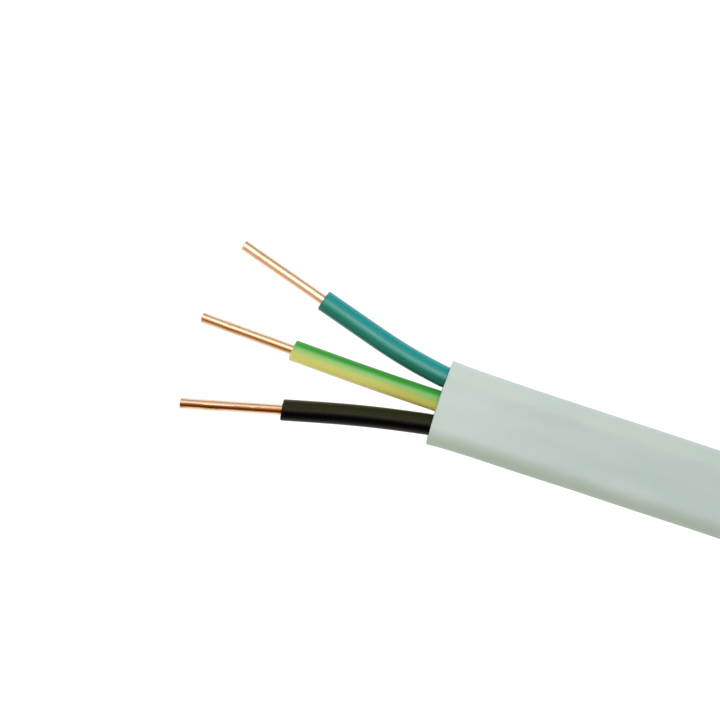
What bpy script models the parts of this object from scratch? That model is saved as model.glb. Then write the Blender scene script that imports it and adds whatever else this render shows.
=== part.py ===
"""Coil of flat three-core building cable, with its free end stripped ready to connect.

The cable is a grey PVC sheath round three single-wire copper cores: blue, green and yellow
(earth) and black. It is wound on edge, so that its width lies along the coil's axis, and three
nylon ties hold the turns. The free end leaves the outermost turn of the bottom layer, turns over
onto its flat face and ends in three bared conductors.

Metres, +Z up. While it is built, the model stands at the sheath's cut end: X runs back along the
cable, Y is across it and the floor is Z = 0. The last step puts the origin under the middle of
the whole part.
"""
import math

import bmesh
import bpy
from mathutils import Matrix, Vector

MM = 0.001

# Section of the cable
CONDUCTOR_DIAMETER = 1.38 * MM
CORE_DIAMETER = 2.8 * MM
CORE_GAP = 0.4 * MM
SHEATH_SIDE_WALL = 0.85 * MM
SHEATH_FACE_WALL = 1.0 * MM

# Clearances that separate solids keep
CONDUCTOR_CLEARANCE = 0.1 * MM
CORE_CLEARANCE = 0.1 * MM
SEAT_GAP = 0.3 * MM
TURN_GAP = 0.1 * MM
WELD_DISTANCE = 0.001 * MM

# Coil
COIL_BORE = 116 * MM
TURNS_PER_LAYER = 4
LAYERS = 3
GROOVE_ANGLE = math.radians(60)
COIL_STEPS = 48
SIDE_ARC_SEGMENTS = 2
END_ARC_SEGMENTS = 3

# Free end, from the sheath's cut back to where it leaves the coil
FREE_LENGTH = 108 * MM
FLAT_LENGTH = 42 * MM
TWIST_LENGTH = 38 * MM
FREE_END_STEP = 4 * MM
SECTION_SEGMENTS = 5
SECTION_FLAT = 0.02 * MM
SOCKET_SIDES = 24
CORE_SOCKET_DEPTH = 20 * MM
CUTTER_OVERRUN = 2 * MM

# Stripped cores: insulation left on and bare wire beyond it
BLUE_INSULATED = 19.0 * MM
BLUE_BARE = 12.3 * MM
EARTH_INSULATED = 20.2 * MM
EARTH_BARE = 12.3 * MM
BLACK_INSULATED = 19.4 * MM
BLACK_BARE = 13.1 * MM
MOUTH_LENGTH = 2.5 * MM
BLUE_BEND_LENGTH = 9 * MM
EARTH_BEND_LENGTH = 9 * MM
BLACK_BEND_LENGTH = 17 * MM
CORE_STEP = 2.5 * MM
ROUTE_STEP = 0.1 * MM
CORE_BEVEL_RESOLUTION = 4

# Each core's place in the sheath, and the angles that it leans out of the cable's line by: where
# it leaves the sheath, and beyond its bend
CORES = {
    "blue": {"side": 1, "insulated": BLUE_INSULATED, "bare": BLUE_BARE, "bend": BLUE_BEND_LENGTH,
             "mouth_angle": math.radians(10), "end_angle": math.radians(16.5)},
    "earth": {"side": 0, "insulated": EARTH_INSULATED, "bare": EARTH_BARE, "bend": EARTH_BEND_LENGTH,
              "mouth_angle": 0.0, "end_angle": math.radians(1.7)},
    "black": {"side": -1, "insulated": BLACK_INSULATED, "bare": BLACK_BARE, "bend": BLACK_BEND_LENGTH,
              "mouth_angle": math.radians(-10), "end_angle": math.radians(-14.5)},
}

# Ties
TIE_ANGLES = (60, 180, 300)
TIE_WIDTH = 3.6 * MM
TIE_THICKNESS = 1.0 * MM
TIE_CORNER = 2.0 * MM
TIE_HEAD_LENGTH = 6.2 * MM
TIE_HEAD_WIDTH = 5.2 * MM
TIE_HEAD_HEIGHT = 4.0 * MM
TIE_HEAD_INSET = 6.0 * MM
TIE_HEAD_BEVEL = 0.6 * MM
TIE_TAIL_LENGTH = 3.0 * MM
TIE_TAIL_LIFT = 1.4 * MM
CORNER_SEGMENTS = 4

SMOOTH_ANGLE = math.radians(35)

# Sizes that follow
CORE_PITCH = CORE_DIAMETER + CORE_GAP
SHEATH_WIDTH = 2 * CORE_PITCH + CORE_DIAMETER + 2 * SHEATH_SIDE_WALL
SHEATH_THICKNESS = CORE_DIAMETER + 2 * SHEATH_FACE_WALL
EDGE_RADIUS = SHEATH_THICKNESS / 2
RADIAL_PITCH = SHEATH_THICKNESS + TURN_GAP
LAYER_PITCH = SHEATH_WIDTH + TURN_GAP
COIL_INNER_RADIUS = COIL_BORE / 2
COIL_OUTER_RADIUS = COIL_INNER_RADIUS + TURNS_PER_LAYER * RADIAL_PITCH - TURN_GAP
OUTER_TURN_RADIUS = COIL_OUTER_RADIUS - SHEATH_THICKNESS / 2
COIL_FLOOR = TIE_THICKNESS + SEAT_GAP
COIL_HEIGHT = LAYERS * LAYER_PITCH - TURN_GAP
COIL_AXIS = Vector((FREE_LENGTH, OUTER_TURN_RADIUS, 0))
CORE_HEIGHT = SHEATH_THICKNESS / 2


def clear_scene():
    for old in list(bpy.data.objects):
        bpy.data.objects.remove(old, do_unlink=True)


def make_collection(name):
    collection = bpy.data.collections.new(name)
    bpy.context.scene.collection.children.link(collection)
    return collection


def make_material(name, colour, roughness, metallic=0.0):
    material = bpy.data.materials.new(name)
    material.use_nodes = True
    shader = material.node_tree.nodes["Principled BSDF"]
    shader.inputs["Base Color"].default_value = (*colour, 1)
    shader.inputs["Roughness"].default_value = roughness
    shader.inputs["Metallic"].default_value = metallic
    material.diffuse_color = (*colour, 1)
    return material


def add_object(name, data, collection, material=None):
    obj = bpy.data.objects.new(name, data)
    collection.objects.link(obj)
    if material:
        data.materials.append(material)
    return obj


def take_active(name, collection):
    obj = bpy.context.active_object
    obj.name = name
    for old in obj.users_collection:
        old.objects.unlink(obj)
    collection.objects.link(obj)
    return obj


def mesh_from(curve_object):
    """Turns a curve object into a mesh object whose caps are welded to its sides."""
    bpy.context.view_layer.update()
    evaluated = curve_object.evaluated_get(bpy.context.evaluated_depsgraph_get())
    mesh = bpy.data.meshes.new_from_object(evaluated)
    welded = bmesh.new()
    welded.from_mesh(mesh)
    bmesh.ops.remove_doubles(welded, verts=welded.verts, dist=WELD_DISTANCE)
    bmesh.ops.recalc_face_normals(welded, faces=welded.faces)
    welded.to_mesh(mesh)
    welded.free()
    name, collection = curve_object.name, curve_object.users_collection[0]
    place = curve_object.matrix_world.copy()
    bpy.data.objects.remove(curve_object, do_unlink=True)
    obj = bpy.data.objects.new(name, mesh)
    collection.objects.link(obj)
    obj.matrix_world = place
    return obj


def hide_cutter(obj):
    obj.hide_render = True
    obj.display_type = "WIRE"


def add_boolean(obj, other, operation="DIFFERENCE"):
    boolean = obj.modifiers.new(f"{operation.lower()}_{other.name}", "BOOLEAN")
    boolean.operation = operation
    boolean.object = other
    hide_cutter(other)


def add_poly_curve(name, points, collection, material=None, tilts=None):
    curve = bpy.data.curves.new(name, "CURVE")
    curve.dimensions = "3D"
    curve.twist_mode = "Z_UP"
    curve.use_fill_caps = True
    spline = curve.splines.new("POLY")
    spline.points.add(len(points) - 1)
    for i, point in enumerate(points):
        spline.points[i].co = (*point, 1)
        spline.points[i].tilt = tilts[i] if tilts else 0
    return add_object(name, curve, collection, material)


def add_outline(name, outlines, collection, depth=0.0):
    """A flat closed outline, with any further outline cut out of it as a hole."""
    curve = bpy.data.curves.new(name, "CURVE")
    curve.dimensions = "2D"
    curve.fill_mode = "BOTH"
    curve.extrude = depth / 2
    for points in outlines:
        spline = curve.splines.new("POLY")
        spline.points.add(len(points) - 1)
        spline.use_cyclic_u = True
        for i, (x, y) in enumerate(points):
            spline.points[i].co = (x, y, 0, 1)
    return add_object(name, curve, collection)


def rounded_rectangle(width, height, radius, segments):
    """Points round a rectangle with rounded corners, anticlockwise from the lower right."""
    points = []
    for quarter in range(4):
        start = math.radians(-90 + 90 * quarter)
        side_x = 1 if quarter in (0, 1) else -1
        side_y = 1 if quarter in (1, 2) else -1
        corner_x = side_x * (width / 2 - radius)
        corner_y = side_y * (height / 2 - radius)
        for i in range(segments + 1):
            angle = start + math.radians(90) * i / segments
            points.append((corner_x + radius * math.cos(angle), corner_y + radius * math.sin(angle)))
    return points


def smoothstep(t):
    t = min(max(t, 0.0), 1.0)
    return t * t * (3 - 2 * t)


def coil_profile():
    """Half section of the coil: rounded cable edges on both ends, layer grooves on both sides."""
    points = []

    def arc(centre_x, centre_z, start, end, segments=SIDE_ARC_SEGMENTS):
        for i in range(segments + 1):
            angle = start + (end - start) * i / segments
            x = centre_x + EDGE_RADIUS * math.cos(angle)
            points.append((x, centre_z + EDGE_RADIUS * math.sin(angle)))

    full = math.pi
    ridge_angle = math.pi / 2 - GROOVE_ANGLE
    flat = SHEATH_WIDTH / 2 - EDGE_RADIUS
    middles = [COIL_FLOOR + SHEATH_WIDTH / 2 + layer * LAYER_PITCH for layer in range(LAYERS)]
    radii = [COIL_INNER_RADIUS + EDGE_RADIUS + turn * RADIAL_PITCH for turn in range(TURNS_PER_LAYER)]
    outer, inner = radii[-1], radii[0]
    last = TURNS_PER_LAYER - 1

    for layer in reversed(range(LAYERS)):
        arc(outer, middles[layer] + flat, GROOVE_ANGLE, 0)
        arc(outer, middles[layer] - flat, 0, -GROOVE_ANGLE)
    for turn in reversed(range(TURNS_PER_LAYER)):
        start = -GROOVE_ANGLE if turn == last else -ridge_angle
        end = -full + (GROOVE_ANGLE if turn == 0 else ridge_angle)
        arc(radii[turn], middles[0] - flat, start, end, END_ARC_SEGMENTS)
    for layer in range(LAYERS):
        arc(inner, middles[layer] - flat, full + GROOVE_ANGLE, full)
        arc(inner, middles[layer] + flat, full, full - GROOVE_ANGLE)
    for turn in range(TURNS_PER_LAYER):
        start = full - (GROOVE_ANGLE if turn == 0 else ridge_angle)
        end = GROOVE_ANGLE if turn == last else ridge_angle
        arc(radii[turn], middles[-1] + flat, start, end, END_ARC_SEGMENTS)
    return [p for i, p in enumerate(points) if math.dist(p, points[i - 1]) > WELD_DISTANCE]


def build_coil(collection, material):
    profile = coil_profile()
    mesh = bpy.data.meshes.new("coil_of_turns")
    count = len(profile)
    mesh.from_pydata([(x, 0, z) for x, z in profile], [(i, (i + 1) % count) for i in range(count)], [])
    coil = add_object("coil_of_turns", mesh, collection, material)
    coil.location = COIL_AXIS
    screw = coil.modifiers.new("wind", "SCREW")
    screw.axis = "Z"
    screw.angle = 2 * math.pi
    screw.steps = screw.render_steps = COIL_STEPS
    screw.use_merge_vertices = True
    screw.merge_threshold = WELD_DISTANCE
    screw.use_smooth_shade = True
    return coil


def free_end_route():
    """Points of the sheath's middle line and its turn from flat to on edge, from the cut end."""
    steps = round(FREE_LENGTH / FREE_END_STEP)
    points, tilts = [], []
    for i in range(steps + 1):
        x = FREE_LENGTH * i / steps
        turned = smoothstep((x - FLAT_LENGTH) / TWIST_LENGTH)
        on_edge = turned * math.pi / 2
        half_height = EDGE_RADIUS + (SHEATH_WIDTH / 2 - EDGE_RADIUS) * math.sin(on_edge)
        points.append((x, 0, half_height + COIL_FLOOR * turned))
        tilts.append(on_edge)
    return points, tilts


def coil_contact():
    """How far before the tangent point the outside of the sheath's line meets the coil."""
    reach = COIL_OUTER_RADIUS + SEAT_GAP
    return math.sqrt(reach ** 2 - (OUTER_TURN_RADIUS + SHEATH_THICKNESS / 2 - SEAT_GAP) ** 2)


def build_free_end(collection, cutters, material):
    points, tilts = free_end_route()
    corner = EDGE_RADIUS - SECTION_FLAT / 2
    outline = rounded_rectangle(SHEATH_WIDTH, SHEATH_THICKNESS, corner, SECTION_SEGMENTS)
    section = add_outline("sheath_section", [outline], cutters)
    section.data.fill_mode = "NONE"
    hide_cutter(section)
    route = add_poly_curve("free_end_sheath", points, collection, None, tilts)
    route.data.bevel_mode = "OBJECT"
    route.data.bevel_object = section
    sheath = mesh_from(route)
    sheath.data.materials.clear()
    sheath.data.materials.append(material)

    bpy.ops.mesh.primitive_cylinder_add(
        vertices=2 * COIL_STEPS, radius=COIL_OUTER_RADIUS + SEAT_GAP, depth=4 * COIL_HEIGHT,
        location=COIL_AXIS)
    add_boolean(sheath, take_active("coil_space", cutters))
    bpy.ops.mesh.primitive_cube_add(
        size=1, scale=(COIL_OUTER_RADIUS, COIL_OUTER_RADIUS, COIL_HEIGHT),
        location=(FREE_LENGTH - coil_contact() + COIL_OUTER_RADIUS / 2, 0, 0))
    add_boolean(sheath, take_active("beyond_contact", cutters))

    for name, core in CORES.items():
        bpy.ops.mesh.primitive_cylinder_add(
            vertices=SOCKET_SIDES, radius=CORE_DIAMETER / 2 + CORE_CLEARANCE,
            depth=CORE_SOCKET_DEPTH + SEAT_GAP + CUTTER_OVERRUN, rotation=(0, math.pi / 2, 0),
            location=((CORE_SOCKET_DEPTH + SEAT_GAP - CUTTER_OVERRUN) / 2,
                      core["side"] * CORE_PITCH, CORE_HEIGHT))
        add_boolean(sheath, take_active(f"{name}_socket", cutters))
    return sheath


def core_route(core, start, end):
    """Middle line of one core, from a distance inside the sheath's cut (negative) to one outside."""
    further = core["end_angle"] - core["mouth_angle"]
    mouth = Vector((0, core["side"] * CORE_PITCH, CORE_HEIGHT))
    line = [(start, mouth - Vector((start, 0, 0))), (0.0, mouth.copy())]
    point, distance = mouth.copy(), 0.0
    while distance < end:
        step = min(ROUTE_STEP, end - distance)
        middle = distance + step / 2
        angle = core["mouth_angle"] * smoothstep(middle / MOUTH_LENGTH)
        angle += further * smoothstep(middle / core["bend"])
        point = point + step * Vector((-math.cos(angle), math.sin(angle), 0))
        distance += step
        line.append((distance, point.copy()))
    count = max(2, round((end - start) / CORE_STEP))
    wanted = [start + (end - start) * i / count for i in range(count + 1)]
    return [point_at(line, distance) for distance in wanted]


def point_at(line, distance):
    for (near, a), (far, b) in zip(line, line[1:]):
        if distance <= far:
            return a.lerp(b, max(0.0, (distance - near) / (far - near)))
    return line[-1][1]


def sweep_round(name, points, diameter, collection, material=None):
    curve = add_poly_curve(name, points, collection, material)
    curve.data.bevel_depth = diameter / 2
    curve.data.bevel_resolution = CORE_BEVEL_RESOLUTION
    return mesh_from(curve)


def lengthen(points, distance):
    """The same line carried on straight past both of its ends."""
    first = points[0] + (points[0] - points[1]).normalized() * distance
    last = points[-1] + (points[-1] - points[-2]).normalized() * distance
    return [first, *points, last]


def build_core(name, core, collection, cutters, insulation_material, copper_material):
    inside = -CORE_SOCKET_DEPTH
    whole = core_route(core, inside, core["insulated"] + core["bare"])
    insulated = core_route(core, inside, core["insulated"])

    insulation = sweep_round(f"{name}_insulation", insulated, CORE_DIAMETER, collection)
    insulation.data.materials.append(insulation_material)
    hole_diameter = CONDUCTOR_DIAMETER + 2 * CONDUCTOR_CLEARANCE
    hole = sweep_round(f"{name}_wire_space", lengthen(whole, CUTTER_OVERRUN), hole_diameter, cutters)
    add_boolean(insulation, hole)

    wire = sweep_round(f"{name}_conductor", whole, CONDUCTOR_DIAMETER, collection)
    wire.data.materials.append(copper_material)


def build_tie(number, angle, collection, cutters, material):
    """A strap round the coil's section, with its head and cut tail on top near the outside."""
    section_width = COIL_OUTER_RADIUS - COIL_INNER_RADIUS + 2 * SEAT_GAP
    section_height = COIL_HEIGHT + 2 * SEAT_GAP
    outer = rounded_rectangle(section_width + 2 * TIE_THICKNESS, section_height + 2 * TIE_THICKNESS,
                              TIE_CORNER + TIE_THICKNESS, CORNER_SEGMENTS)
    inner = rounded_rectangle(section_width, section_height, TIE_CORNER, CORNER_SEGMENTS)
    tie = mesh_from(add_outline(f"cable_tie_{number}", [outer, inner], collection, TIE_WIDTH))
    tie.data.materials.clear()
    tie.data.materials.append(material)

    top = section_height / 2
    head_x = section_width / 2 - TIE_HEAD_INSET
    bpy.ops.mesh.primitive_cube_add(size=1, location=(head_x, top + TIE_HEAD_HEIGHT / 2, 0))
    head = take_active(f"tie_head_{number}", cutters)
    head.data.transform(Matrix.Diagonal((TIE_HEAD_LENGTH, TIE_HEAD_HEIGHT, TIE_HEAD_WIDTH, 1)))
    bevel = head.modifiers.new("soft_edges", "BEVEL")
    bevel.width = TIE_HEAD_BEVEL
    bevel.segments = 2
    tail_length = TIE_HEAD_LENGTH / 2 + TIE_TAIL_LENGTH
    bpy.ops.mesh.primitive_cube_add(
        size=1, location=(head_x - tail_length / 2, top + TIE_THICKNESS + TIE_TAIL_LIFT, 0))
    tail = take_active(f"tie_tail_{number}", cutters)
    tail.data.transform(Matrix.Diagonal((tail_length, TIE_THICKNESS, TIE_WIDTH, 1)))

    middle_radius = (COIL_INNER_RADIUS + COIL_OUTER_RADIUS) / 2
    stand_up = Matrix.Rotation(math.pi / 2, 4, "X")
    place = (Matrix.Translation(COIL_AXIS) @ Matrix.Rotation(math.radians(angle), 4, "Z")
             @ Matrix.Translation((middle_radius, 0, COIL_FLOOR + COIL_HEIGHT / 2)) @ stand_up)
    for piece in (tie, head, tail):
        piece.matrix_world = place @ piece.matrix_world
    add_boolean(tie, head, "UNION")
    add_boolean(tie, tail, "UNION")
    return tie


def put_origin_under_middle(parts):
    """Parents every object to one empty and moves it, so the origin is under the part's middle."""
    bpy.context.view_layer.update()
    depsgraph = bpy.context.evaluated_depsgraph_get()
    corners = []
    for obj in parts.objects:
        evaluated = obj.evaluated_get(depsgraph)
        corners += [evaluated.matrix_world @ Vector(corner) for corner in evaluated.bound_box]
    low = Vector(min(corner[axis] for corner in corners) for axis in range(3))
    high = Vector(max(corner[axis] for corner in corners) for axis in range(3))
    carrier = bpy.data.objects.new("part_origin", None)
    bpy.context.scene.collection.objects.link(carrier)
    for obj in list(bpy.data.objects):
        if obj is not carrier:
            obj.parent = carrier
    carrier.location = (-(low.x + high.x) / 2, -(low.y + high.y) / 2, -low.z)


def shade(parts):
    for obj in parts.objects:
        obj.data.shade_smooth()
        obj.data.set_sharp_from_angle(angle=SMOOTH_ANGLE)


def main():
    clear_scene()
    parts = make_collection("coil_of_flat_electrical_cable")
    cutters = make_collection("cutters")
    sheath_grey = make_material("grey_pvc_sheath", (0.60, 0.67, 0.63), 0.55)
    copper = make_material("bare_copper", (0.80, 0.42, 0.20), 0.28, 1.0)
    nylon = make_material("natural_nylon", (0.80, 0.79, 0.74), 0.45)
    insulation_materials = {
        "blue": make_material("teal_blue_pvc", (0.02, 0.26, 0.27), 0.4),
        "earth": make_material("green_yellow_pvc", (0.08, 0.38, 0.07), 0.4),
        "black": make_material("black_pvc", (0.02, 0.02, 0.015), 0.45),
    }

    build_coil(parts, sheath_grey)
    build_free_end(parts, cutters, sheath_grey)
    for name, core in CORES.items():
        build_core(name, core, parts, cutters, insulation_materials[name], copper)
    for number, angle in enumerate(TIE_ANGLES, 1):
        build_tie(number, angle, parts, cutters, nylon)
    shade(parts)
    put_origin_under_middle(parts)


main()
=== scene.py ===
"""Looks of the coil of flat three-core cable: its wound turns, stripped end, copper and ties."""
import math

import bmesh
import bpy
import numpy as np
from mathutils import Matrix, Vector, noise


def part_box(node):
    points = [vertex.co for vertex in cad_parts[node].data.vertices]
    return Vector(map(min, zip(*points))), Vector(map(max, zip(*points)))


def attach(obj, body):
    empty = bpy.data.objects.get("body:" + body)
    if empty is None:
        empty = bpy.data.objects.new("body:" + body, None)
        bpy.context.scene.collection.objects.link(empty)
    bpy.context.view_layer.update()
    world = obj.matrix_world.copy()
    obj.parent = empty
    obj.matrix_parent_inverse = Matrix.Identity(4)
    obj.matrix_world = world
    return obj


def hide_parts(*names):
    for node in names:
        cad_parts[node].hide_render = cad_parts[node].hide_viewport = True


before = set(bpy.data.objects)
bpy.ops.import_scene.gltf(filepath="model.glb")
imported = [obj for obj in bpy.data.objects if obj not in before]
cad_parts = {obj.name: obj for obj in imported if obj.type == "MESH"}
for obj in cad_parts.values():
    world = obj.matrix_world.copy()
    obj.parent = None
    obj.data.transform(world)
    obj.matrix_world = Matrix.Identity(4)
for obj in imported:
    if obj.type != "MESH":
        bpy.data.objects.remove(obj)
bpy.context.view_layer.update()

MM = 0.001

# Places and sizes that the solids give
sheath_low, sheath_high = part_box("free_end_sheath")
coil_low, coil_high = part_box("coil_of_turns")
core_low, core_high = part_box("earth_insulation")
wire_low, wire_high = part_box("earth_conductor")
MOUTH = Vector((sheath_low.x, (sheath_low.y + sheath_high.y) / 2, 0))
COIL_AXIS = Vector(((coil_low.x + coil_high.x) / 2, (coil_low.y + coil_high.y) / 2, 0))
COIL_FLOOR = coil_low.z
COIL_TOP = coil_high.z
COIL_OUTER_RADIUS = (coil_high.x - coil_low.x) / 2
CORE_HEIGHT = (core_low.z + core_high.z) / 2
CORE_RADIUS = (core_high.z - core_low.z) / 2
WIRE_RADIUS = (wire_high.z - wire_low.z) / 2
SHEATH_WIDTH = sheath_high.y - sheath_low.y
SHEATH_THICKNESS = 2 * CORE_HEIGHT

# Section of the cable, whose cores lie a little off the sheath's middle. Its faces stand slightly
# proud over each core and are slightly uneven.
CORE_PITCH = 3.2 * MM
CORE_SHIFT = 0.12 * MM
CORE_BORE = 2 * CORE_RADIUS + 0.06 * MM
WIRE_BORE = 1.42 * MM
WEB_HALF_HEIGHT = 0.45 * MM
PROUD_OVER_CORES = 0.025 * MM
UNEVENNESS = 0.05 * MM

# Winding: where its turns move across a layer and rise to the next, in degrees of its angle, and
# how far its turns stray from true circles and from a flat top
TURN_GAP = 0.1 * MM
TURNS_PER_LAYER = 4
LAYERS = 3
START_ANGLE = -90
FIRST_MOVE = 240
MOVE_SECTOR = 28
RISE_SECTOR = 46
RISE_AFTER_MOVE = 12
MOVE_AFTER_RISE = 26
SETTLE_SECTOR = 90
WINDING_STEP = 3
WINDING_POINTS = 28
LEAD_POINTS = 4
LEAD_GAP = 1 * MM
RADIAL_STRAY = 0.25 * MM
TOP_STRAY = 0.12 * MM
RADIAL_PITCH = SHEATH_THICKNESS + TURN_GAP
LAYER_PITCH = SHEATH_WIDTH + TURN_GAP
OUTER_TURN_RADIUS = COIL_OUTER_RADIUS - SHEATH_THICKNESS / 2
COIL_INNER_RADIUS = COIL_OUTER_RADIUS - TURNS_PER_LAYER * RADIAL_PITCH + TURN_GAP

# Free end, as distances from the sheath's cut end
FREE_LENGTH = COIL_AXIS.x - MOUTH.x
FREE_START = sheath_high.x - MOUTH.x
FLAT_LENGTH = 42 * MM
TWIST_LENGTH = 38 * MM
FREE_END_POINTS = 96
FREE_END_RINGS = 90
FREE_END_LAST_RING = 0.6 * MM
CORD_POINTS = 40

# Cuts of the sheath: the rounding of their edge, the sockets behind them, and the flare, the
# bowed face and the uneven face that the cut leaves
CUT_ROUNDING = 0.05 * MM
SOCKET_DEPTH = 20 * MM
INNER_END_DEPTH = 3 * MM
MOUTH_FLARE = 0.22 * MM
FLARE_LENGTH = 2.6 * MM
MOUTH_BULGE = 0.2 * MM
MOUTH_UNEVENNESS = 0.04 * MM

# Cores: their slot, side of the cable, lengths of insulation and bare wire, length of the bend,
# lean in degrees at the mouth and beyond the bend, and slant of the insulation's and wire's cuts
CORES = {
    "blue": {
        "slot": "blue_insulation", "side": 1, "insulated": 19.0 * MM, "bare": 12.5 * MM,
        "bend": 12 * MM, "mouth_angle": 8.8, "end_angle": 16.5, "cut": 0, "tip": -4,
    },
    "earth": {
        "slot": "green_yellow_insulation", "side": 0, "insulated": 20.2 * MM, "bare": 12.42 * MM,
        "bend": 18 * MM, "mouth_angle": 0.3, "end_angle": 1.75, "cut": 4, "tip": -2,
    },
    "black": {
        "slot": "black_insulation", "side": -1, "insulated": 19.56 * MM, "bare": 13.14 * MM,
        "bend": 17 * MM, "mouth_angle": -10.0, "end_angle": -14.4, "cut": 6.5, "tip": 2,
    },
}
MOUTH_LENGTH = 0.6 * MM
CORE_INSET = 0.1 * MM
CORE_RINGS = 60
CORE_POINTS = 40
EVEN_BEFORE_CUT = 1.2 * MM
EVEN_BEFORE_TIP = 1.0 * MM
CUT_RIM = 0.26 * MM
CUT_UNEVENNESS = 0.05 * MM
BORE_CHAMFER = 0.05 * MM
WIRE_RINGS = 90
WIRE_POINTS = 32
WIRE_CHAMFER = 0.1 * MM
TIP_SWELLING = [(0.5 * MM, 1.01), (0.2 * MM, 1.03), (WIRE_CHAMFER, 1.02)]
TIP_UNEVENNESS = 0.03 * MM
SLANT_LENGTH = 0.6 * MM
ALMOST_CLOSED = 0.01 * MM
ROUTE_STEP = 0.1 * MM

# Cut cores at the coil's inner end: how far they stand back from the sheath's face, how long and
# how finely they are modelled, and the rounding of their wires' edge
INNER_CORE_RECESS = 0.05 * MM
INNER_CORE_LENGTH = 2.8 * MM
INNER_TUBE_POINTS = 28
INNER_WIRE_POINTS = 24
INNER_WIRE_ROUNDING = 0.03 * MM
INNER_WIRE_FACE = 0.95

# Cells of the noise that makes cut faces uneven, per metre
FACE_GRAIN = 1500
CORE_GRAIN = 1800

# Ties
TIE_ANGLES = (60, 180, 300)
TIE_WIDTH = 3.6 * MM
TIE_THICKNESS = 1.0 * MM
TIE_GAP = 0.3 * MM
TIE_CORNER = 2.5 * MM
TIE_RAIL = 0.6 * MM
TIE_CHANNEL = 0.18 * MM
TIE_SOFT_EDGE = 0.15 * MM
TIE_HEAD_LENGTH = 6.2 * MM
TIE_HEAD_WIDTH = 5.2 * MM
TIE_HEAD_HEIGHT = 4.0 * MM
TIE_HEAD_INSET = 6.0 * MM
TIE_HEAD_CORNER = 0.7 * MM
TIE_HEAD_INSET_CORNER = 0.5 * MM
TIE_HEAD_BEVEL = 0.3 * MM
TIE_HEAD_TAPER = 0.5 * MM
TIE_SLOT_ROOM = 0.5 * MM
TIE_SLOT_SIDE_ROOM = 0.3 * MM
TIE_SLOT_CORNER = 0.2 * MM
TIE_SLOT_DEPTH = 1.6 * MM
TIE_TAIL_LENGTH = 3.0 * MM
TIE_TAIL_LIFT = 1.4 * MM
TIE_TAIL_INSET = 1.4 * MM
TIE_TAIL_EDGE = 0.5 * MM
TIE_TEETH = 7
TIE_TOOTH_DEPTH = 0.22 * MM

# Colours of the sheath, with painted light by the cut and on the upper edge, and painted shade on the
# lower edge
SHEATH_DARKER = (0.475, 0.567, 0.567)
SHEATH_LIGHTER = (0.512, 0.595, 0.582)
SHEATH_STREAK = (0.44, 0.54, 0.50)
SHEATH_PAINTED_LIGHT_BY_THE_CUT = (0.70, 0.79, 0.75)
SHEATH_PAINTED_SHADE_LOWER_EDGE = (0.38, 0.50, 0.41)
SHEATH_PAINTED_LIGHT_UPPER_EDGE = (0.60, 0.68, 0.62)
SHEATH_SCUFF = (0.46, 0.54, 0.50)

# Insulation: colours of its upper and lower side, which are painted light and painted shade, and of
# the lower side and the stripe where they are shaded by the mouth, which is painted shade too. Turn is
# where the upper colour goes over into the lower one. A stripe has two colours itself. A painted
# highlight streak has its middle, half width and colour. Places across the core are shares of its radius.
INSULATIONS = {
    "blue": {
        "name": "teal_blue_pvc", "upper": (0.0005, 0.275, 0.285), "lower": (0.001, 0.178, 0.134),
        "shaded": (0.0005, 0.10, 0.085), "streak": (-0.04, 0.42, (0.07, 0.38, 0.27)),
        "roughness": 0.19, "Specular_IOR_Level": 0.4,
    },
    "earth": {
        "name": "green_yellow_pvc", "upper": (0.05, 0.36, 0.045), "lower": (0.06, 0.40, 0.05),
        "shaded": (0.60, 0.52, 0.09), "streak": (0.28, 0.33, (0.27, 0.64, 0.26)),
        "stripe": ((0.63, 0.67, 0.18), (0.84, 0.79, 0.22)), "Specular_IOR_Level": 0.35,
    },
    "black": {
        "name": "black_pvc", "upper": (0.024, 0.023, 0.009), "lower": (0.001, 0.0008, 0.001),
        "shaded": (0.001, 0.0008, 0.001), "turn": (0.5, -0.06), "grain_depth": 0.035 * MM,
        "roughness": 0.18, "Specular_IOR_Level": 0.1, "Specular_Tint": (1.0, 0.98, 0.75),
    },
}
SHADE_STRENGTH = 0.45
SHADED_FROM_MOUTH = (12 * MM, 5 * MM)
# Painted rim light along the stripe's lower edge
STRIPE_PAINTED_RIM_LIGHT = (0.93, 1.0, 0.62)
DUST = (0.45, 0.5, 0.42)

# The stripe of the earth core turns a little round it towards the mouth
STRIPE_TWIST = 0.35
STRIPE_TWIST_LENGTH = 11 * MM

# Wires: clean and streaked copper, and a painted dark reflection along one side: its two edges as
# shares of the radius, its strength and its colour
COPPERS = {
    "blue": {
        "clean": (0.90, 0.63, 0.44), "streaked": (0.72, 0.44, 0.26),
        "painted_dark_reflection_edges": (0.68, 0.44), "strength": 0.45, "painted_dark_reflection": (0.45, 0.21, 0.06),
    },
    "earth": {
        "clean": (0.89, 0.64, 0.48), "streaked": (0.66, 0.37, 0.20),
        "painted_dark_reflection_edges": (0.03, -0.5), "strength": 0.88, "painted_dark_reflection": (0.48, 0.17, 0.025),
    },
    "black": {
        "clean": (0.88, 0.62, 0.46), "streaked": (0.62, 0.34, 0.18),
        "painted_dark_reflection_edges": (0.12, -0.64), "strength": 1.0, "painted_dark_reflection": (0.215, 0.07, 0.007),
    },
}
PAINTED_DARK_REFLECTION_FADE = 0.12

# Camera, in pixels of the 720 pixel photograph
PICTURE = 720
PIXELS_PER_MM = 7.75
MOUTH_PIXEL = (439.7, 402.6)
CABLE_SLOPE = math.radians(18.2)
CAMERA_HEIGHT = 0.5
SENSOR = 36.0

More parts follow.
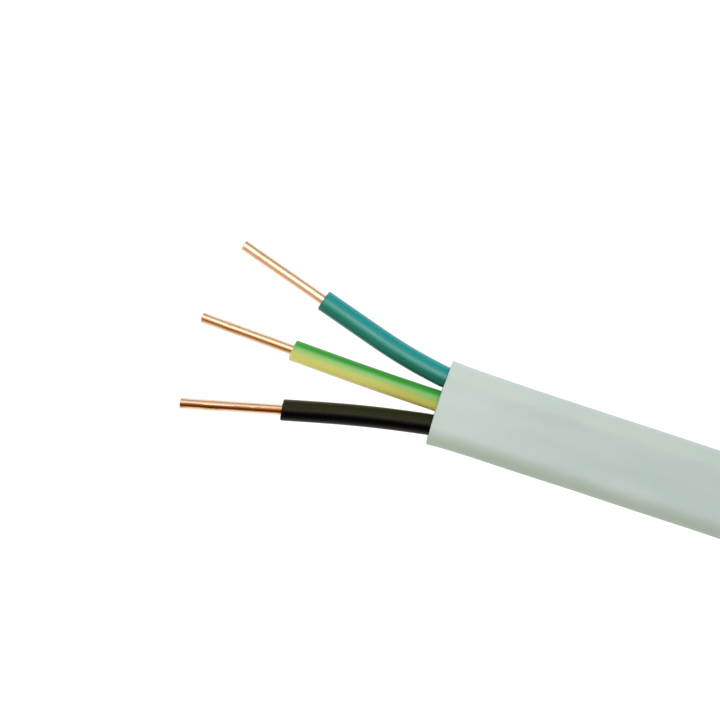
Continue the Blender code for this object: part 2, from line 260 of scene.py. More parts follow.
# Light: a soft sky that is dimmer on one side and at the horizon, with a broad bright key by
# the zenith and a dark brown screen beside it, over a white floor that glows. Azimuths are in
# degrees, slopes and spreads in degrees from the zenith and from the middle of the key or screen.
SKY = (1.00, 1.07, 1.09)
DIM_SKY = (0.78, 0.58, 0.42)
HORIZON = (0.22, 0.14, 0.08)
KEY = (3.9, 3.8, 3.3)
SCREEN = (0.06, 0.03, 0.012)
WHITE = (1.0, 1.0, 1.0)
FLOOR_BASE = (0.05, 0.05, 0.05)
FLOOR_RADIANCE = 1.12
FLOOR_SIZE = 6
FLOOR_DROP = 0.02 * MM
SKY_AZIMUTH = 110
SKY_EDGES = (-0.65, -0.2)
HORIZON_SLOPES = (76, 54)
SCREEN_AZIMUTH = -62
SCREEN_SLOPE = 46
SCREEN_SPREAD = (37, 18)
KEY_AZIMUTH = 80
KEY_SLOPE = 11
KEY_SPREAD = (21, 10)


def opaque(value):
    """A colour of three numbers with its alpha. Anything else stays as it is."""
    return (*value, 1.0) if isinstance(value, tuple) else value


class Value:
    """A number at a shader socket. Arithmetic on it adds Math nodes."""

    def __init__(self, paint, socket):
        self.paint = paint
        self.socket = socket

    def math(self, operation, *others):
        node = self.paint.node("ShaderNodeMath", {"operation": operation},
                               dict(enumerate([self, *others])))
        return Value(self.paint, node.outputs[0])

    def __add__(self, other):
        return self.math("ADD", other)

    def __sub__(self, other):
        return self.math("SUBTRACT", other)

    def __rsub__(self, other):
        return self.math("MULTIPLY_ADD", -1.0, other)

    def __mul__(self, other):
        return self.math("MULTIPLY", other)

    def __truediv__(self, other):
        return self.math("DIVIDE", other)

    __radd__ = __add__
    __rmul__ = __mul__

    def rise(self, start, end):
        """Goes smoothly from 0 to 1 as this number goes from start to end, either way."""
        node = self.paint.node("ShaderNodeMapRange", {"interpolation_type": "SMOOTHSTEP"},
                               {"Value": self, "From Min": start, "From Max": end})
        return Value(self.paint, node.outputs["Result"])


class Nodes:
    """Adds nodes to one tree."""

    def __init__(self, tree):
        self.tree = tree

    def node(self, kind, settings, sockets):
        node = self.tree.nodes.new(kind)
        for name, value in settings.items():
            setattr(node, name, value)
        for key, value in sockets.items():
            if isinstance(value, Value):
                value = value.socket
            if isinstance(value, bpy.types.NodeSocket):
                self.tree.links.new(value, node.inputs[key])
            else:
                node.inputs[key].default_value = value
        return node

    def blend(self, factor, first, second):
        """A colour that goes from first to second as factor goes from 0 to 1."""
        sockets = {0: factor, 6: opaque(first), 7: opaque(second)}
        return self.node("ShaderNodeMix", {"data_type": "RGBA"}, sockets).outputs[2]


class Paint(Nodes):
    """One procedural material. It lies along, across and through the cable as if that were straight."""

    def __init__(self, name, **constants):
        self.material = bpy.data.materials.new(name)
        self.material.use_nodes = True
        super().__init__(self.material.node_tree)
        self.shader = self.tree.nodes["Principled BSDF"]
        for socket, value in constants.items():
            self.shader.inputs[socket.replace("_", " ")].default_value = opaque(value)

    def straight(self, scale=(1, 1, 1), shift=(0, 0, 0)):
        """Places along, across and through the straight cable, scaled."""
        place = self.node("ShaderNodeAttribute", {"attribute_name": "straight"}, {})
        scaled = self.node("ShaderNodeVectorMath", {"operation": "MULTIPLY_ADD"},
                           {0: place.outputs["Vector"], 1: scale, 2: shift})
        return scaled.outputs["Vector"]

    def along_across(self):
        """Distance along the cable and across it, from its cut end and from its middle line."""
        parts = self.node("ShaderNodeSeparateXYZ", {}, {0: self.straight()})
        return Value(self, parts.outputs[0]), Value(self, parts.outputs[1])

    def clouds(self, scale, shift=(0, 0, 0), detail=2.0, roughness=0.5):
        """Noise whose cells are one over scale long, in metres along, across and through the cable."""
        node = self.node("ShaderNodeTexNoise", {}, {
            "Vector": self.straight(scale, shift),
            "Scale": 1.0,
            "Detail": detail,
            "Roughness": roughness,
        })
        return Value(self, node.outputs["Fac"])

    def bump(self, height, distance, strength):
        node = self.node("ShaderNodeBump", {},
                         {"Height": height, "Distance": distance, "Strength": strength})
        return node.outputs["Normal"]

    def finish(self, **links):
        """Links values and colours to the shader's sockets, and gives the material."""
        for name, value in links.items():
            socket = value.socket if isinstance(value, Value) else value
            self.tree.links.new(socket, self.shader.inputs[name.replace("_", " ")])
        return self.material


def sheath_paint():
    """Pale grey-green PVC: faint long streaks from the extruder, a fine grain and light scuffs, with
    painted light by the cut and on the upper edge and painted shade on the lower edge.
    """
    paint = Paint("grey_pvc_sheath", IOR=1.5)
    broad = paint.clouds((90, 260, 260), detail=2)
    streaks = paint.clouds((25, 2600, 2600), detail=3)
    grain = paint.clouds((5200, 5200, 5200), detail=2)
    scuffs = paint.clouds((260, 1500, 1500), shift=(3, 7, 1), detail=4, roughness=0.7)
    scuffs = scuffs.rise(0.62, 0.78)
    along, across = paint.along_across()
    place = across / SHEATH_WIDTH + (broad - 0.5) * 0.1
    base = paint.blend(broad.rise(0.3, 0.7), SHEATH_DARKER, SHEATH_LIGHTER)
    base = paint.blend(streaks.rise(0.35, 0.75) * 0.16, base, SHEATH_STREAK)
    # Painted light: the sheath is lighter towards its cut end
    base = paint.blend(along.rise(20 * MM, 0) * 0.33, base, SHEATH_PAINTED_LIGHT_BY_THE_CUT)
    # Painted shade: a darker band along the lower edge
    base = paint.blend(place.rise(-0.28, -0.5) * 0.8, base, SHEATH_PAINTED_SHADE_LOWER_EDGE)
    # Painted light: a lighter band along the upper edge
    base = paint.blend(place.rise(0.2, 0.4) * 0.55, base, SHEATH_PAINTED_LIGHT_UPPER_EDGE)
    base = paint.blend(scuffs * 0.14, base, SHEATH_SCUFF)
    height = grain * 0.35 + streaks * 0.5 + scuffs * 0.2
    return paint.finish(
        Base_Color=base,
        Roughness=0.47 + grain * 0.1 + scuffs * 0.12,
        Normal=paint.bump(height, 0.02 * MM, 0.6),
    )


def insulation_paint(name, upper, lower, shaded, turn=(0.6, -0.6), stripe=None, streak=None,
                     grain_depth=0.02 * MM, roughness=0.3, **gloss):
    """PVC on one core, from one side's colour to the other's: painted light and shade on its sides,
    painted shade by the mouth, a painted highlight streak and a painted rim light on the stripe.
    """
    paint = Paint(name, IOR=1.5, **gloss)
    along, across = paint.along_across()
    across = across / CORE_RADIUS
    grain = paint.clouds((3800, 5200, 5200), detail=3, roughness=0.6)
    cloud = paint.clouds((150, 500, 500), detail=2)
    shade = along.rise(*SHADED_FROM_MOUTH) * SHADE_STRENGTH
    lower = paint.blend(shade, lower, shaded)
    # Painted light on the upper side going over into painted shade on the lower side
    base = paint.blend((across + (cloud - 0.5) * 0.5).rise(*turn), upper, lower)
    if stripe:
        twist = along.rise(STRIPE_TWIST_LENGTH, 0) * STRIPE_TWIST
        place = across + (cloud - 0.5) * 0.1 + twist
        yellow = paint.blend(place.rise(-0.2, -0.9), *stripe)
        yellow = paint.blend(shade, yellow, shaded)
        # Painted rim light: the stripe is paler along its lower edge
        yellow = paint.blend(place.rise(-0.72, -1.0) * 0.6, yellow, STRIPE_PAINTED_RIM_LIGHT)
        base = paint.blend(place.rise(0.72, -0.42), base, yellow)
    # Painted highlight: a pale streak along the core
    if streak:
        middle, half, tint = streak
        highlight_band = across.rise(middle - half, middle) * across.rise(middle + half, middle)
        base = paint.blend(highlight_band * (0.38 + cloud * 0.14), base, tint)
    return paint.finish(
        Base_Color=paint.blend(grain.rise(0.55, 0.8) * 0.012, base, DUST),
        Roughness=roughness + grain * 0.12,
        Normal=paint.bump(grain + cloud * 0.4, grain_depth, 0.7),
    )


def copper_paint(name, clean, streaked, painted_dark_reflection_edges, strength, painted_dark_reflection):
    """Drawn copper: bright, with fine die lines, darker streaks along the wire and a painted dark
    reflection along one side.
    """
    paint = Paint(f"drawn_copper_{name}")
    lines = paint.clouds((60, 9000, 9000), detail=3)
    streaks = paint.clouds((170, 4200, 4200), shift=(0, 3, 9), detail=3, roughness=0.6)
    streaks = streaks.rise(0.5, 0.68)
    tarnish = paint.clouds((400, 900, 900), shift=(5, 0, 2), detail=3).rise(0.45, 0.75)
    base = paint.blend(streaks * 0.5, clean, streaked)
    base = paint.blend(tarnish * 0.4, base, streaked)
    across = paint.along_across()[1] / WIRE_RADIUS + (tarnish + streaks - 0.6) * 0.22
    upper, lower = painted_dark_reflection_edges
    # Painted dark reflection: a darker, less metallic band along one side of the wire
    painted_dark_reflection_mask = across.rise(upper + PAINTED_DARK_REFLECTION_FADE, upper - PAINTED_DARK_REFLECTION_FADE)
    painted_dark_reflection_mask = painted_dark_reflection_mask * across.rise(lower - PAINTED_DARK_REFLECTION_FADE, lower + PAINTED_DARK_REFLECTION_FADE) * strength
    height = lines * 0.5 + streaks * -0.5
    return paint.finish(
        Base_Color=paint.blend(painted_dark_reflection_mask, base, painted_dark_reflection),
        Metallic=1 - painted_dark_reflection_mask * 0.25,
        Roughness=0.22 + streaks * 0.15 + lines * 0.08,
        Normal=paint.bump(height, 0.01 * MM, 0.8),
    )


def nylon_paint():
    """Natural nylon, milky, with a faint moulded texture."""
    paint = Paint("natural_nylon", IOR=1.53)
    grain = paint.clouds((2500, 2500, 2500), detail=3)
    milk = paint.clouds((200, 500, 500), detail=2)
    return paint.finish(
        Base_Color=paint.blend(milk.rise(0.3, 0.7), (0.70, 0.69, 0.62), (0.80, 0.79, 0.73)),
        Roughness=0.36 + grain * 0.14,
        Normal=paint.bump(grain, 0.015 * MM, 0.5),
    )


def smoothstep(t):
    t = min(max(t, 0.0), 1.0)
    return t * t * (3 - 2 * t)


class Skin:
    """The rings of one piece, with each point's place in the piece before it is bent."""

    def __init__(self):
        self.rings = []
        self.straight = []

    def add(self, ring, run, section):
        self.rings.append(ring)
        self.straight.append([(run, a, b) for a, b in section])


def add_loft(name, skin, material, closed=False, sharp=35):
    """Skins rings of equally many points. It is closed to a loop, or has a face at each end."""
    count = len(skin.rings[0])
    shape = bmesh.new()
    places = shape.verts.layers.float_vector.new("straight")
    rows = []
    for ring, straight_ring in zip(skin.rings, skin.straight):
        row = []
        for point, straight_point in zip(ring, straight_ring):
            vert = shape.verts.new(point)
            vert[places] = straight_point
            row.append(vert)
        rows.append(row)
    pairs = list(zip(rows, rows[1:]))
    if closed:
        pairs.append((rows[-1], rows[0]))
    for near, far in pairs:
        for i in range(count):
            j = (i + 1) % count
            shape.faces.new((near[i], near[j], far[j], far[i]))
    if not closed:
        shape.faces.new(rows[0])
        shape.faces.new(rows[-1])
    bmesh.ops.recalc_face_normals(shape, faces=shape.faces)
    mesh = bpy.data.meshes.new(name)
    shape.to_mesh(mesh)
    shape.free()
    mesh.materials.append(material)
    mesh.shade_smooth()
    mesh.set_sharp_from_angle(angle=math.radians(sharp))
    piece = bpy.data.objects.new(name, mesh)
    bpy.context.scene.collection.objects.link(piece)
    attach(piece, "root")
    return piece


def stadium(width, thickness, count):
    """Points round a flat section with round sides, as places across and through it."""
    radius = thickness / 2
    flat = width - thickness
    perimeter = 2 * flat + 2 * math.pi * radius
    points = []
    for i in range(count):
        run = perimeter * i / count
        if run < flat:
            points.append((flat / 2 - run, radius))
            continue
        run -= flat
        if run < math.pi * radius:
            angle = math.pi / 2 + run / radius
            points.append((-flat / 2 + radius * math.cos(angle), radius * math.sin(angle)))
            continue
        run -= math.pi * radius
        if run < flat:
            points.append((-flat / 2 + run, -radius))
            continue
        angle = -math.pi / 2 + (run - flat) / radius
        points.append((flat / 2 + radius * math.cos(angle), radius * math.sin(angle)))
    return points


class Station:
    """A place on the cable's middle line, with the directions across its width and through it."""

    def __init__(self, run, centre, tangent, width_way):
        self.run = run
        self.centre = centre
        self.across = (width_way - tangent * width_way.dot(tangent)).normalized()
        self.through = tangent.cross(self.across).normalized()

    def ring(self, section):
        return [self.centre + self.across * a + self.through * b for a, b in section]


def stations_along(points, width_ways, first_run=0.0):
    stations = []
    run = first_run
    for i, point in enumerate(points):
        if i:
            run += (point - points[i - 1]).length
        ahead = points[min(i + 1, len(points) - 1)]
        behind = points[max(i - 1, 0)]
        stations.append(Station(run, point, (ahead - behind).normalized(), width_ways[i]))
    return stations


def free_end_point(run):
    """Middle line of the free end and the way of its width, at a distance from the cut."""
    turned = smoothstep((run - FLAT_LENGTH) / TWIST_LENGTH)
    angle = turned * math.pi / 2
    radius = SHEATH_THICKNESS / 2
    height = radius + (SHEATH_WIDTH / 2 - radius) * math.sin(angle) + COIL_FLOOR * turned
    return MOUTH + Vector((run, 0, height)), Vector((0, math.cos(angle), math.sin(angle)))


def swell(run, across, through):
    """How far the sheath's faces stand proud: over each core, and by slow uneven extrusion."""
    over_cores = PROUD_OVER_CORES * math.cos(2 * math.pi * across / CORE_PITCH)
    uneven = UNEVENNESS * noise.noise(Vector((run * 90, across * 250, through * 200)))
    return over_cores * (1 - abs(across) / SHEATH_WIDTH) + uneven


def sheath_section(run, count):
    """The sheath's outline at a distance from its cut, with the slight flare that the cut leaves.

    Its under face stays flat, because the free end lies on it.
    """
    flare = MOUTH_FLARE * math.exp(-max(run, 0.0) / FLARE_LENGTH)
    points = []
    for a, b in stadium(SHEATH_WIDTH, SHEATH_THICKNESS, count):
        proud = flare + swell(run, a, b)
        wider = 1 + proud / (SHEATH_WIDTH / 2)
        thicker = 1 + proud / (SHEATH_THICKNESS / 2)
        points.append((a * wider, b * thicker if b < 0 else b))
    return points


def socket_section(section):
    """The outline round the three cores, point for point inside a sheath section."""
    bore = CORE_BORE / 2
    inner_half = CORE_PITCH + bore
    outer_half = max(a for a, _ in section)
    points = []
    for a, b in section:
        x = a / outer_half * inner_half
        nearest = max(-1, min(1, round(x / CORE_PITCH))) * CORE_PITCH
        rise = math.sqrt(max(bore ** 2 - (x - nearest) ** 2, 0.0))
        if abs(x) < CORE_PITCH:
            rise = max(rise, WEB_HALF_HEIGHT)
        points.append((x + CORE_SHIFT, math.copysign(rise, b)))
    return points


def cut_rings(station_at, section, depth):
    """Rings of a cut end: its slightly rounded rim, its face and the sockets behind it."""
    narrower = 1 - CUT_ROUNDING / (SHEATH_WIDTH / 2)
    thinner = 1 - CUT_ROUNDING / (SHEATH_THICKNESS / 2)
    outline = [(a * narrower, b * thinner) for a, b in section]
    socket = socket_section(section)
    steps = [(CUT_ROUNDING, section), (0.0, outline), (0.0, socket), (depth, socket)]
    return [(station_at(run), points) for run, points in steps]


def build_free_end(material):
    """The sheath from the coil to its cut end, open round the three cores."""
    skin = Skin()
    runs = np.linspace(FREE_START, FREE_END_LAST_RING, FREE_END_RINGS)
    points, ways = zip(*[free_end_point(run) for run in runs])
    for station, run in zip(stations_along(points, ways), runs):
        section = sheath_section(run, FREE_END_POINTS)
        skin.add(station.ring(section), run, section)

    def mouth_station(run):
        point, way = free_end_point(run)
        return Station(run, point, Vector((-1, 0, 0)), way)

    mouth_section = sheath_section(0.0, FREE_END_POINTS)
    for station, section in cut_rings(mouth_station, mouth_section, SOCKET_DEPTH):
        ring = station.ring(section)
        if station.run <= CUT_ROUNDING:
            for point, (a, _) in zip(ring, section):
                bulge = MOUTH_BULGE * (1.2 - (2 * a / SHEATH_WIDTH) ** 2)
                point.x += MOUTH_UNEVENNESS * noise.noise(point * FACE_GRAIN) - bulge
        skin.add(ring, station.run, section)
    piece = add_loft("sheath_free_end", skin, material)
    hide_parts("free_end_sheath")
    line = [free_end_point(run)[0] for run in np.linspace(FREE_START, 0, CORD_POINTS)]
    return piece, line


def winding_moves():
    """Where the winding moves: its angle, the sector it takes, the places inwards and the layers up."""
    moves = []
    angle = FIRST_MOVE
    for number in range(LAYERS):
        inwards = -1 if number % 2 == 0 else 1
        for _ in range(TURNS_PER_LAYER - 1):
            moves.append((angle, MOVE_SECTOR, inwards, 0))
            angle += 360
        end_angle = angle
        if number < LAYERS - 1:
            moves.append((angle - MOVE_AFTER_RISE, RISE_SECTOR, 0, 1))
            angle += 360 - MOVE_AFTER_RISE - RISE_AFTER_MOVE
    return moves, end_angle


def winding_route():
    """Points of the wound cable from the free end inwards, layer by layer."""
    moves, end_angle = winding_moves()
    outermost = TURNS_PER_LAYER - 1
    points = []
    for angle in np.arange(START_ANGLE, end_angle, WINDING_STEP):
        place = float(outermost)
        layer = 0.0
        for start, sector, inwards, rise in moves:
            share = smoothstep((angle - start) / sector)
            place += inwards * share
            layer += rise * share
        turn = math.radians(angle)
        radius = OUTER_TURN_RADIUS - (outermost - place) * RADIAL_PITCH
        settled = smoothstep((angle - START_ANGLE) / SETTLE_SECTOR)
        radius += RADIAL_STRAY * math.sin(2 * turn + 0.6) * settled
        height = COIL_FLOOR + SHEATH_WIDTH / 2 + layer * LAYER_PITCH
        in_top_layer = smoothstep(2 * (layer - LAYERS + 1.5))
        height += TOP_STRAY * (1 + math.sin(turn * 0.7 + place * 1.9)) * in_top_layer
        points.append(COIL_AXIS + Vector((radius * math.cos(turn), radius * math.sin(turn), height)))
    return points


def build_winding(material):
    """All the wound turns as one continuous cable, cut square at its inner end."""
    lead_runs = np.linspace(FREE_START, FREE_LENGTH - LEAD_GAP, LEAD_POINTS)
    points = [free_end_point(run)[0] for run in lead_runs] + winding_route()
    *stations, last = stations_along(points, [Vector((0, 0, 1))] * len(points), FREE_START)
    skin = Skin()
    for station in stations:
        section = sheath_section(station.run, WINDING_POINTS)
        skin.add(station.ring(section), station.run, section)
    onwards = last.across.cross(last.through).normalized()

    def end_station(run):
        return Station(last.run - run, last.centre - onwards * run, onwards, last.across)

    end_section = sheath_section(last.run, WINDING_POINTS)
    for station, section in cut_rings(end_station, end_section, INNER_END_DEPTH):
        skin.add(station.ring(section), station.run, section)
    piece = add_loft("sheath_winding", skin, material)
    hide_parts("coil_of_turns")
    return end_station


class CoreLine:
    """Middle line of one stripped core, from inside the sheath (negative) to the wire's tip."""

    def __init__(self, core):
        self.core = core
        self.length = core["insulated"] + core["bare"]
        self.start = MOUTH + Vector((0, core["side"] * CORE_PITCH + CORE_SHIFT, CORE_HEIGHT))
        self.points = [self.start.copy()]
        steps = int(self.length / ROUTE_STEP) + 2
        for i in range(steps):
            way = self.way((i + 0.5) * ROUTE_STEP)
            self.points.append(self.points[-1] + ROUTE_STEP * way)

    def way(self, run):
        """The direction of the core at a distance from the mouth."""
        near = math.radians(self.core["mouth_angle"])
        far = math.radians(self.core["end_angle"])
        angle = near * smoothstep(run / MOUTH_LENGTH) + (far - near) * smoothstep(run / self.core["bend"])
        return Vector((-math.cos(angle), math.sin(angle), 0))

    def station(self, run):
        sideways = Vector((0, 1, 0))
        if run <= 0:
            return Station(run, self.start - Vector((run, 0, 0)), Vector((-1, 0, 0)), sideways)
        place = min(run / ROUTE_STEP, len(self.points) - 1.001)
        near = int(place)
        centre = self.points[near].lerp(self.points[near + 1], place - near)
        return Station(run, centre, self.way(run), sideways)


def add_turned(name, line_station, profile, material, count=CORE_POINTS, slant=0.0,
               slant_from=None, unevenness=0.0, closed=False):
    """A round piece along a line. Its profile lists distances and radii. Its end may be cut aslant."""
    skin = Skin()
    for run, radius in profile:
        ring = []
        section = []
        for i in range(count):
            angle = 2 * math.pi * i / count
            a = radius * math.cos(angle)
            b = radius * math.sin(angle)
            leaning = 0.0
            if slant_from is not None and run >= slant_from:
                leaning = -a * math.tan(math.radians(slant))
                leaning += unevenness * noise.noise(Vector((a, b, 0)) * CORE_GRAIN)
            station = line_station(run + leaning)
            ring.append(station.centre + station.across * a + station.through * b)
            section.append((a, b))
        skin.add(ring, run, section)
    return add_loft(name, skin, material, closed=closed)


def insulation_profile(cut):
    """Distances and radii of the tube of insulation, out to its rounded cut and back by its bore."""
    runs = list(np.linspace(CORE_INSET - SOCKET_DEPTH, cut - EVEN_BEFORE_CUT, CORE_RINGS))
    outer = [(run, CORE_RADIUS) for run in runs]
    outer.append((cut - 2 * CUT_RIM, CORE_RADIUS))
    for degrees in (0, 25, 50, 75):
        turn = math.radians(degrees)
        back = CUT_RIM * (1 - math.sin(turn))
        inwards = CUT_RIM * (1 - math.cos(turn))
        outer.append((cut - back, CORE_RADIUS - inwards))
    outer.append((cut, CORE_RADIUS - CUT_RIM))
    bore = WIRE_BORE / 2
    inner = [(cut, bore + BORE_CHAMFER), (cut - BORE_CHAMFER, bore)]
    return outer + inner + [(run, bore) for run in reversed(runs)]


def wire_profile(tip):
    """Distances and radii of a wire out to its tip, which shearing has swollen."""
    runs = np.linspace(CORE_INSET - SOCKET_DEPTH, tip - EVEN_BEFORE_TIP, WIRE_RINGS)
    profile = [(runs[0], ALMOST_CLOSED)]
    profile += [(run, WIRE_RADIUS) for run in runs]
    profile += [(tip - back, WIRE_RADIUS * swelling) for back, swelling in TIP_SWELLING]
    return profile + [(tip, WIRE_RADIUS - WIRE_CHAMFER), (tip, ALMOST_CLOSED)]


def build_core(name, core, insulation, copper):
    """The tube of insulation and the copper wire of one core."""
    line = CoreLine(core)
    cut = core["insulated"]
    tip = line.length
    tube = add_turned(f"{name}_core_insulation", line.station, insulation_profile(cut), insulation,
                      slant=core["cut"], slant_from=cut - SLANT_LENGTH,
                      unevenness=CUT_UNEVENNESS, closed=True)
    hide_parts(f"{name}_insulation")
    wire = add_turned(f"{name}_copper_wire", line.station, wire_profile(tip), copper,
                      count=WIRE_POINTS, slant=core["tip"], slant_from=tip - SLANT_LENGTH,
                      unevenness=TIP_UNEVENNESS)
    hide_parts(f"{name}_conductor")
    return tube, wire


def build_inner_end_cores(end_station, insulations, coppers):
    """The cut faces of the three cores at the coil's inner end."""
    back = -INNER_CORE_LENGTH
    bore = WIRE_BORE / 2
    tube = [(back, CORE_RADIUS), (0.0, CORE_RADIUS), (0.0, bore), (back, bore)]
    wire = [(back, ALMOST_CLOSED), (back, WIRE_RADIUS), (-INNER_WIRE_ROUNDING, WIRE_RADIUS),
            (0.0, WIRE_RADIUS * INNER_WIRE_FACE), (0.0, ALMOST_CLOSED)]
    for name, core in CORES.items():
        def station(run, side=core["side"]):
            middle = end_station(INNER_CORE_RECESS - run)
            centre = middle.centre + middle.across * (side * CORE_PITCH + CORE_SHIFT)
            return Station(run, centre, middle.across.cross(middle.through), middle.across)

        add_turned(f"{name}_inner_end_insulation", station, tube, insulations[name],
                   count=INNER_TUBE_POINTS, closed=True)
        add_turned(f"{name}_inner_end_wire", station, wire, coppers[name],
                   count=INNER_WIRE_POINTS)


def rounded_rectangle(width, height, radius, segments=4):
    """Points round a rectangle with round corners, each in that many segments."""
    points = []
    for quarter in range(4):
        side_x = 1 if quarter in (0, 3) else -1
        side_y = 1 if quarter in (0, 1) else -1
        for i in range(segments + 1):
            angle = math.radians(90 * quarter + 90 * i / segments)
            points.append((side_x * (width / 2 - radius) + radius * math.cos(angle),
                           side_y * (height / 2 - radius) + radius * math.sin(angle)))
    return points


def strap_section():
    """Section of the strap across its width and outwards, with the shallow channel in its face."""
    half = TIE_WIDTH / 2
    thick = TIE_THICKNESS / 2
    soft = TIE_SOFT_EDGE
    inner = half - TIE_RAIL
    right = [(half, -thick + soft), (half, thick - soft), (half - soft, thick), (inner, thick),
             (inner - soft, thick - TIE_CHANNEL)]
    left = [(-a, b) for a, b in reversed(right)]
    return right + left + [(-half + soft, -thick), (half - soft, -thick)]


def tail_section(notch):
    """Section of the strap's tail, whose teeth are cut notch deep into its under face."""
    half = TIE_WIDTH / 2
    thick = TIE_THICKNESS / 2
    inner = half - TIE_TAIL_EDGE
    return [(half, -thick), (half, thick), (inner, thick), (-inner, thick), (-half, thick),
            (-half, -thick), (-inner, notch - thick), (inner, notch - thick)]


class TiePlace:
    """Where one tie sits, with places across the strap, outwards from the turns' middle and up."""

    def __init__(self, angle):
        self.across = Vector((-math.sin(angle), math.cos(angle), 0))
        self.outwards = Vector((math.cos(angle), math.sin(angle), 0))
        middle_radius = (COIL_INNER_RADIUS + COIL_OUTER_RADIUS) / 2
        middle_height = (COIL_FLOOR + COIL_TOP) / 2
        self.centre = COIL_AXIS + self.outwards * middle_radius + Vector((0, 0, middle_height))

    def point(self, across, out, up):
        return self.centre + self.across * across + self.outwards * out + Vector((0, 0, up))


def build_strap(number, place, width, height, material):
    """The strap's loop round the turns."""
    loop = rounded_rectangle(width, height, TIE_CORNER, 8)
    section = strap_section()
    skin = Skin()
    run = 0.0
    for i, (x, z) in enumerate(loop):
        before = loop[i - 1]
        after = loop[(i + 1) % len(loop)]
        way = Vector((after[0] - before[0], after[1] - before[1])).normalized()
        normal = Vector((way.y, -way.x))
        run += math.dist(before, (x, z))
        ring = [place.point(a, x + normal.x * b, z + normal.y * b) for a, b in section]
        skin.add(ring, run, section)
    strap = add_loft(f"tie_strap_{number}", skin, material, closed=True, sharp=25)
    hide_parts(f"cable_tie_{number}")


def build_tie(number, angle, material):
    """One tie: its strap round the turns, its head on top and the cut tail that leaves the head."""
    place = TiePlace(angle)
    room = 2 * TIE_GAP + TIE_THICKNESS
    width = COIL_OUTER_RADIUS - COIL_INNER_RADIUS + room
    build_strap(number, place, width, COIL_TOP - COIL_FLOOR + room, material)

    head_middle = width / 2 - TIE_THICKNESS / 2 - TIE_HEAD_INSET
    head_base = (COIL_TOP - COIL_FLOOR) / 2 + TIE_GAP
    tail_height = TIE_THICKNESS + TIE_TAIL_LIFT
    shell = rounded_rectangle(TIE_HEAD_WIDTH, TIE_HEAD_HEIGHT, TIE_HEAD_CORNER)
    inset = rounded_rectangle(TIE_HEAD_WIDTH - TIE_HEAD_TAPER, TIE_HEAD_HEIGHT - TIE_HEAD_TAPER,
                              TIE_HEAD_INSET_CORNER)
    opening = rounded_rectangle(TIE_WIDTH + TIE_SLOT_SIDE_ROOM, TIE_THICKNESS + TIE_SLOT_ROOM,
                                TIE_SLOT_CORNER)
    opening = [(a, b + tail_height - TIE_HEAD_HEIGHT / 2) for a, b in opening]
    half = TIE_HEAD_LENGTH / 2
    steps = [(half, inset), (half - TIE_HEAD_BEVEL, shell), (TIE_HEAD_BEVEL - half, shell),
             (-half, inset), (-half, opening), (TIE_SLOT_DEPTH - half, opening)]
    skin = Skin()
    for x, outline in steps:
        middle_height = head_base + TIE_HEAD_HEIGHT / 2
        skin.add([place.point(a, head_middle + x, middle_height + b) for a, b in outline], x, outline)
    add_loft(f"tie_head_{number}", skin, material)

    tail_start = TIE_TAIL_INSET - half
    tail_end = -half - TIE_TAIL_LENGTH
    steps = 2 * TIE_TEETH
    skin = Skin()
    for i in range(steps + 1):
        x = tail_start + (tail_end - tail_start) * i / steps
        section = tail_section(TIE_TOOTH_DEPTH if i % 2 else 0.0)
        ring = [place.point(a, head_middle + x, head_base + tail_height + b) for a, b in section]
        skin.add(ring, x, section)
    add_loft(f"tie_tail_{number}", skin, material, sharp=20)


def add_floor():
    bpy.ops.mesh.primitive_plane_add(size=FLOOR_SIZE, location=(0, 0, -FLOOR_DROP))
    floor = bpy.context.active_object
    floor.name = "pale_floor"
    paint = Paint("white_floor", Base_Color=FLOOR_BASE, Roughness=0.9, Specular_IOR_Level=0.0,
                  Emission_Color=WHITE, Emission_Strength=FLOOR_RADIANCE)
    floor.data.materials.append(paint.material)


def direction(azimuth, slope):
    """The direction that leans away from the zenith by slope towards azimuth, in degrees."""
    azimuth = math.radians(azimuth)
    slope = math.radians(slope)
    return (math.cos(azimuth) * math.sin(slope), math.sin(azimuth) * math.sin(slope), math.cos(slope))


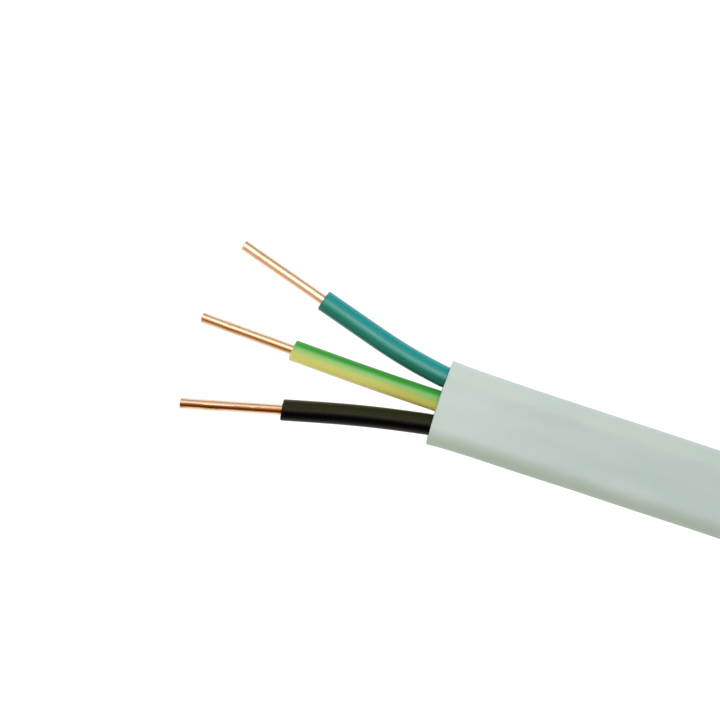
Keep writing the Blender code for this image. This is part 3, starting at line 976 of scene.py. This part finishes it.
def add_light():
    """The sky, its key and its screen. The camera sees plain white instead."""
    world = bpy.data.worlds.new("studio")
    bpy.context.scene.world = world
    world.use_nodes = True
    sky = Nodes(world.node_tree)
    way = sky.node("ShaderNodeTexCoord", {}, {}).outputs["Generated"]

    def towards(azimuth, slope):
        node = sky.node("ShaderNodeVectorMath", {"operation": "DOT_PRODUCT"},
                        {0: way, 1: direction(azimuth, slope)})
        return Value(sky, node.outputs["Value"])

    def cosines(angles):
        return [math.cos(math.radians(angle)) for angle in angles]

    side = towards(SKY_AZIMUTH, 90).rise(*SKY_EDGES)
    high_up = towards(0, 0).rise(*cosines(HORIZON_SLOPES))
    screen = towards(SCREEN_AZIMUTH, SCREEN_SLOPE).rise(*cosines(SCREEN_SPREAD))
    key = towards(KEY_AZIMUTH, KEY_SLOPE).rise(*cosines(KEY_SPREAD))
    light = sky.blend(high_up, HORIZON, SKY)
    light = sky.blend(side, DIM_SKY, light)
    light = sky.blend(key, light, KEY)
    light = sky.blend(screen, light, SCREEN)
    seen = Value(sky, sky.node("ShaderNodeLightPath", {}, {}).outputs["Is Camera Ray"])
    light = sky.blend(seen, light, WHITE)
    sky.tree.links.new(light, world.node_tree.nodes["Background"].inputs["Color"])


def add_camera():
    """Looks straight down, turned so that the cable slopes as in the photograph."""
    right = Vector((math.cos(CABLE_SLOPE), math.sin(CABLE_SLOPE), 0))
    up = Vector((-math.sin(CABLE_SLOPE), math.cos(CABLE_SLOPE), 0))
    offset = [(MOUTH_PIXEL[i] - PICTURE / 2) / PIXELS_PER_MM * MM for i in range(2)]
    centre = MOUTH - right * offset[0] + up * offset[1]
    camera = bpy.data.cameras.new("camera")
    camera.sensor_width = SENSOR
    camera.lens = SENSOR * CAMERA_HEIGHT / (PICTURE / PIXELS_PER_MM * MM)
    camera.clip_start = 0.01
    camera.clip_end = 20
    view = bpy.data.objects.new("camera", camera)
    view.location = centre + Vector((0, 0, CAMERA_HEIGHT + CORE_HEIGHT))
    view.rotation_euler = (0, 0, CABLE_SLOPE)
    bpy.context.scene.collection.objects.link(view)
    bpy.context.scene.camera = view
    bpy.context.scene.view_settings.view_transform = "Standard"


def main():
    add_camera()
    sheath = sheath_paint()
    coppers = {name: copper_paint(name, **look) for name, look in COPPERS.items()}
    nylon = nylon_paint()
    insulations = {name: insulation_paint(**look) for name, look in INSULATIONS.items()}
    free_end, line = build_free_end(sheath)
    end_station = build_winding(sheath)
    on_cord = []
    for name, core in CORES.items():
        on_cord += build_core(name, core, insulations[name], coppers[name])
    build_inner_end_cores(end_station, insulations, coppers)
    for number, angle in enumerate(TIE_ANGLES, 1):
        build_tie(number, math.radians(angle), nylon)
    add_floor()
    add_light()


main()
